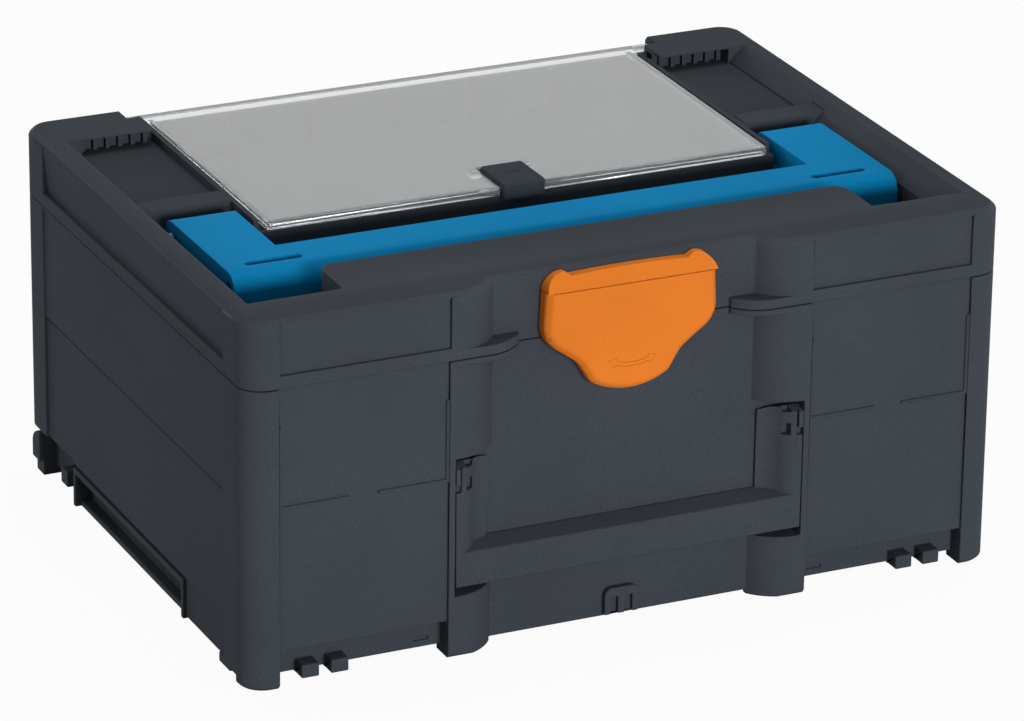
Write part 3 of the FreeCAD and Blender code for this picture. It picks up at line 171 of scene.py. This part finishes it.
# Grain for the fine lines of painted shade in the arrow's and the chevron's grooves.
GROOVE_SHADE = {"grain": 1700.0, "contrast": 0.1, "depth": 0.03}
finishes = {
    "case_plastic": moulded("case_plastic", srgb(62, 67, 73), rough=0.75),
    "rail_plastic": moulded("rail_plastic", srgb(55, 60, 66), rough=0.62),
    "tray_plastic": moulded("tray_plastic", srgb(44, 48, 53), rough=0.65),
    "cover_clear": clear_plastic("cover_clear"),
    "clip_plastic": moulded("clip_plastic", srgb(56, 61, 68), rough=0.6, grain=1600.0, contrast=0.1),
    "handle_blue": moulded("handle_blue", srgb(14, 133, 188), rough=0.6, **SATIN),
    "latch_orange": moulded("latch_orange", srgb(221, 121, 42), rough=0.55, **SATIN),
    # A darker copy of the latch's orange: painted shade for the arrow's groove.
    "groove_shade_orange": moulded("groove_shade_orange", srgb(172, 80, 14), rough=0.6, **GROOVE_SHADE),
    # A near-black copy of the clip's grey: painted shade for the chevron's groove.
    "groove_shade_grey": moulded("groove_shade_grey", srgb(24, 27, 32), rough=0.6, **GROOVE_SHADE),
    "pin_steel": steel("pin_steel"),
}

# The CAD pieces: which edges are broken, and how far

SMOOTH_BELOW = math.radians(28)
SQUARE_ABOVE = math.radians(62)
SEAM_REACH = 0.05 * MM
WELD_REACH = 0.002 * MM
FLAT_WITHIN = math.radians(0.5)
EDGE_SEGMENTS = 3
NO_SEAM = -1.0


def compare(group, kind, first, second):
    """Whether one value is above or below a number."""
    item = group.nodes.new("FunctionNodeCompare")
    item.data_type = "FLOAT"
    item.operation = kind
    group.links.new(first, item.inputs["A"])
    item.inputs["B"].default_value = second
    return item.outputs["Result"]


def arithmetic(group, kind, first, second):
    """The result of an operation on a socket and another socket or a number."""
    item = group.nodes.new("ShaderNodeMath")
    item.operation = kind
    group.links.new(first, item.inputs[0])
    if isinstance(second, bpy.types.NodeSocket):
        group.links.new(second, item.inputs[1])
    else:
        item.inputs[1].default_value = second
    return item.outputs[0]


def edge_length(group):
    """The length of each edge."""
    ends = group.nodes.new("GeometryNodeInputMeshEdgeVertices")
    length = group.nodes.new("ShaderNodeVectorMath")
    length.operation = "DISTANCE"
    group.links.new(ends.outputs["Position 1"], length.inputs[0])
    group.links.new(ends.outputs["Position 2"], length.inputs[1])
    return length.outputs["Value"]


def seam_distance(group, seam):
    """How far each edge is above or below a level."""
    place = group.nodes.new("ShaderNodeSeparateXYZ")
    position = group.nodes.new("GeometryNodeInputPosition").outputs["Position"]
    group.links.new(position, place.inputs["Vector"])
    return arithmetic(group, "ABSOLUTE", arithmetic(group, "SUBTRACT", place.outputs["Z"], seam), 0.0)


def edge_weight(group, angle, square, seam, shortest):
    """How far each edge is broken: in full where it slants, by a share where it is square.

    Shallow edges, short ones and those at the level of a seam are not broken at all.
    """
    sharp = compare(group, "GREATER_THAN", angle, SMOOTH_BELOW)
    long = compare(group, "GREATER_THAN", edge_length(group), shortest * MM)
    free = compare(group, "GREATER_THAN", seam_distance(group, seam), SEAM_REACH)
    broken = arithmetic(group, "MULTIPLY", arithmetic(group, "MULTIPLY", sharp, long), free)
    steep = compare(group, "GREATER_THAN", angle, SQUARE_ABOVE)
    spared = arithmetic(group, "MULTIPLY", arithmetic(group, "MULTIPLY", steep, 1.0 - square), broken)
    return arithmetic(group, "SUBTRACT", broken, spared)


def shading_group(name, square=1.0, seam=NO_SEAM, shortest=0.3):
    """A modifier group that shades smooth across shallow edges and stores how far each edge is broken.

    A seam is a level in metres, far below the floor where there is none. The shortest edge that is broken
    is in millimetres.
    """
    group = bpy.data.node_groups.new(name, "GeometryNodeTree")
    for way in ("INPUT", "OUTPUT"):
        group.interface.new_socket("Geometry", in_out=way, socket_type="NodeSocketGeometry")
    plain = group.nodes.new("GeometryNodeRemoveAttribute")
    plain.inputs["Name"].default_value = "custom_normal"
    faces = group.nodes.new("GeometryNodeSetShadeSmooth")
    faces.domain = "FACE"
    edges = group.nodes.new("GeometryNodeSetShadeSmooth")
    edges.domain = "EDGE"
    angle = group.nodes.new("GeometryNodeInputMeshEdgeAngle").outputs["Unsigned Angle"]
    group.links.new(compare(group, "LESS_THAN", angle, SMOOTH_BELOW), edges.inputs["Shade Smooth"])
    store = group.nodes.new("GeometryNodeStoreNamedAttribute")
    store.data_type = "FLOAT"
    store.domain = "EDGE"
    store.inputs["Name"].default_value = "bevel_weight_edge"
    group.links.new(edge_weight(group, angle, square, seam, shortest), store.inputs["Value"])
    start = group.nodes.new("NodeGroupInput")
    end = group.nodes.new("NodeGroupOutput")
    chain = [start, plain, faces, edges, store, end]
    for before, after in zip(chain, chain[1:]):
        group.links.new(before.outputs["Geometry"], after.inputs["Geometry"])
    return group


def soften(item, width, group, clamped):
    """Merge a solid's facets into whole faces and break its sharp edges, to a width in millimetres."""
    weld = item.modifiers.new("weld", "WELD")
    weld.merge_threshold = WELD_REACH
    flats = item.modifiers.new("flats", "DECIMATE")
    flats.decimate_type = "DISSOLVE"
    flats.angle_limit = FLAT_WITHIN
    shade = item.modifiers.new("shade", "NODES")
    shade.node_group = group
    edges = item.modifiers.new("edges", "BEVEL")
    edges.width = width * MM
    edges.segments = EDGE_SEGMENTS
    edges.limit_method = "WEIGHT"
    edges.use_clamp_overlap = clamped
    edges.harden_normals = True


LID_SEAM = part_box("lid_liner")[1][2]
EVEN = shading_group("break_evenly")
LONG = shading_group("break_long_edges", shortest=12.0)
LID = shading_group("break_lid", square=0.5, seam=LID_SEAM, shortest=1.0)
LINER = shading_group("break_liner", seam=LID_SEAM)
LATCH = shading_group("break_latch", square=0.35)

# Each piece's finish, the width of its broken edges in millimetres, the group that picks them,
# and whether Blender narrows them all to suit the piece's smallest form.
STEEL_PIECE = ("pin_steel", 0.2, EVEN, True)
LOOKS = {
    "base_tub": ("case_plastic", 0.6, EVEN, False),
    "lid_shell": ("case_plastic", 1.0, LID, False),
    "lid_liner": ("case_plastic", 0.5, LINER, True),
    "front_handle": ("case_plastic", 0.7, LONG, False),
    "side_rail_right": ("rail_plastic", 0.5, EVEN, True),
    "side_rail_left": ("rail_plastic", 0.5, EVEN, True),
    "compartment_tray": ("tray_plastic", 0.5, EVEN, True),
    "clear_cover": ("cover_clear", 0.9, LONG, False),
    "cover_clip": ("clip_plastic", 0.7, EVEN, False),
    "carry_handle": ("handle_blue", 1.4, EVEN, True),
    "latch_cover": ("latch_orange", 1.4, LATCH, False),
    "latch_carrier": ("latch_orange", 1.2, LATCH, True),
}
for name, item in nodes.items():
    finish, width, group, clamped = LOOKS.get(name, STEEL_PIECE)
    item.data.materials.clear()
    item.data.materials.append(finishes[finish])
    soften(item, width, group, clamped)

# Grooves in the plastic, drawn as fine lines of painted shade

LINE_RADIUS = 0.15 * MM
LINE_SINK = 0.02 * MM


def stroke(name, points, closed, finish, body):
    """A fine line half sunk in a face, along a run of points."""
    data = bpy.data.curves.new(name, "CURVE")
    data.dimensions = "3D"
    data.bevel_depth = LINE_RADIUS
    data.bevel_resolution = 1
    run = data.splines.new("POLY")
    run.points.add(len(points) - 1)
    for place, point in zip(run.points, points):
        place.co = (*point, 1.0)
    run.use_cyclic_u = closed
    data.materials.append(finishes[finish])
    item = bpy.data.objects.new(name, data)
    bpy.context.scene.collection.objects.link(item)
    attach(item, body)


def turn_arrow():
    """The outline of a two-headed arrow groove round the latch's axis, on its tongue, drawn as a darker
    orange line of painted shade.
    """
    joint = [j for j in frame["joints"] if j["name"] == "latch_turn"][0]
    axis = Vector(joint["pos_m"])
    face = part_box("latch_cover")[0][1] + LINE_SINK
    middle = 28.0
    shaft_half = 1.0
    head_half = 2.6
    neck = 18
    tip = 26.5
    step = 3

    def at(radius, angle):
        swing = math.radians(angle)
        return (axis.x + radius * MM * math.sin(swing), face, axis.z - radius * MM * math.cos(swing))

    def head(side):
        return [at(middle + side * head_half, side * neck), at(middle, side * tip),
                at(middle - side * head_half, side * neck)]

    arc = range(-neck, neck + 1, step)
    outside = [at(middle + shaft_half, angle) for angle in arc]
    inside = [at(middle - shaft_half, -angle) for angle in arc]
    points = outside + head(1) + inside + head(-1)
    stroke("latch_arrow", points, True, "groove_shade_orange", "latch")


def clip_chevron():
    """The chevron groove on top of the clip that shows which way it lifts, drawn as a dark line of painted
    shade.
    """
    half_width = 3.6 * MM
    half_length = 1.8 * MM
    low, high = (Vector(v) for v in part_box("cover_clip"))
    top = high.z - LINE_SINK
    middle = (low.y + high.y) / 2
    points = [
        (-half_width, middle - half_length, top),
        (0, middle + half_length, top),
        (half_width, middle - half_length, top),
    ]
    stroke("clip_chevron", points, False, "groove_shade_grey", "clip")


turn_arrow()
clip_chevron()

# Floor, light and camera

WHITE = (1, 1, 1, 1)
LAMP_AIM = Vector((0, 0, 0.1))

# Each lamp's place in metres, power in watts and width in metres.
LAMPS = {
    "key": ((0.1, -3.2, 0.65), 72.0, 1.0),
    "top": ((0.2, 0.3, 3.0), 23.0, 1.8),
    "left": ((-3.0, 0.7, 0.7), 15.0, 1.0),
    "right": ((3.0, 0.7, 0.7), 36.0, 1.0),
    "back": ((-0.6, 3.2, 0.7), 44.0, 1.0),
}

# The camera fitted to the photograph's edges, with its place in metres and its lens in millimetres.
CAMERA_PLACE = (-1.13273, -2.44146, 1.18625)
CAMERA_AZIMUTH = math.radians(-24.993)
CAMERA_ELEVATION = math.radians(22.303)
CAMERA_ROLL = math.radians(0.7457)
CAMERA_LENS = 205.96
CAMERA_SENSOR = 36.0


def seen(tree):
    """One on rays from the camera and on those that a mirror or clear plastic sends on, else nothing."""
    path = add(tree, "ShaderNodeLightPath")
    sight = path.outputs["Is Camera Ray"]
    for kind in ("Is Glossy Ray", "Is Transmission Ray"):
        sight = arithmetic(tree, "MAXIMUM", sight, path.outputs[kind])
    return sight


def floor():
    """A pale floor, nearly white where it is seen, that keeps a trace of the case's shadow."""
    reach = 12.0
    seen_share = 0.95
    corners = [(x * reach, y * reach, 0) for x, y in ((-1, -1), (1, -1), (1, 1), (-1, 1))]
    mesh = bpy.data.meshes.new("floor")
    mesh.from_pydata(corners, [], [(0, 1, 2, 3)])
    item = bpy.data.objects.new("floor", mesh)
    bpy.context.scene.collection.objects.link(item)
    made, tree, shader = new_material("floor_pale")
    shader.inputs["Base Color"].default_value = (0.6, 0.6, 0.61, 1)
    shader.inputs["Roughness"].default_value = 0.9
    shader.inputs["Specular IOR Level"].default_value = 0.0
    bright = add(tree, "ShaderNodeEmission", Color=WHITE, Strength=1.0)
    blend = tree.nodes.new("ShaderNodeMixShader")
    tree.links.new(span(tree, seen(tree), 0.0, seen_share), blend.inputs["Fac"])
    tree.links.new(shader.outputs[0], blend.inputs[1])
    tree.links.new(bright.outputs[0], blend.inputs[2])
    tree.links.new(blend.outputs[0], tree.nodes["Material Output"].inputs["Surface"])
    mesh.materials.append(made)


def sky():
    """An even white surround: full white where it is seen or mirrored, a quarter of that as light."""
    light_share = 0.26
    world = bpy.data.worlds.new("studio")
    bpy.context.scene.world = world
    world.use_nodes = True
    tree = world.node_tree
    backing = tree.nodes["Background"]
    backing.inputs["Color"].default_value = WHITE
    tree.links.new(span(tree, seen(tree), light_share, 1.0), backing.inputs["Strength"])


def lamp(name, place, power, size):
    """A round soft lamp that faces the case."""
    light = bpy.data.lights.new(name, "AREA")
    light.energy = power
    light.shape = "DISK"
    light.size = size
    item = bpy.data.objects.new(name, light)
    item.location = place
    item.rotation_euler = (LAMP_AIM - Vector(place)).to_track_quat("-Z", "Y").to_euler()
    bpy.context.scene.collection.objects.link(item)


def camera():
    """The photograph's view: its direction, its slight roll and its long lens."""
    back = Vector((
        math.sin(CAMERA_AZIMUTH) * math.cos(CAMERA_ELEVATION),
        -math.cos(CAMERA_AZIMUTH) * math.cos(CAMERA_ELEVATION),
        math.sin(CAMERA_ELEVATION),
    ))
    level = Vector((math.cos(CAMERA_AZIMUTH), math.sin(CAMERA_AZIMUTH), 0))
    upright = back.cross(level)
    right = level * math.cos(CAMERA_ROLL) + upright * math.sin(CAMERA_ROLL)
    up = upright * math.cos(CAMERA_ROLL) - level * math.sin(CAMERA_ROLL)
    turn = Matrix((right, up, back)).transposed().to_4x4()
    data = bpy.data.cameras.new("camera")
    data.sensor_width = CAMERA_SENSOR
    data.lens = CAMERA_LENS
    data.clip_end = 50.0
    item = bpy.data.objects.new("camera", data)
    item.matrix_world = Matrix.Translation(CAMERA_PLACE) @ turn
    bpy.context.scene.collection.objects.link(item)
    bpy.context.scene.camera = item


floor()
sky()
for name, (place, power, size) in LAMPS.items():
    lamp(name, place, power, size)
camera()
bpy.context.scene.view_settings.view_transform = "Standard"
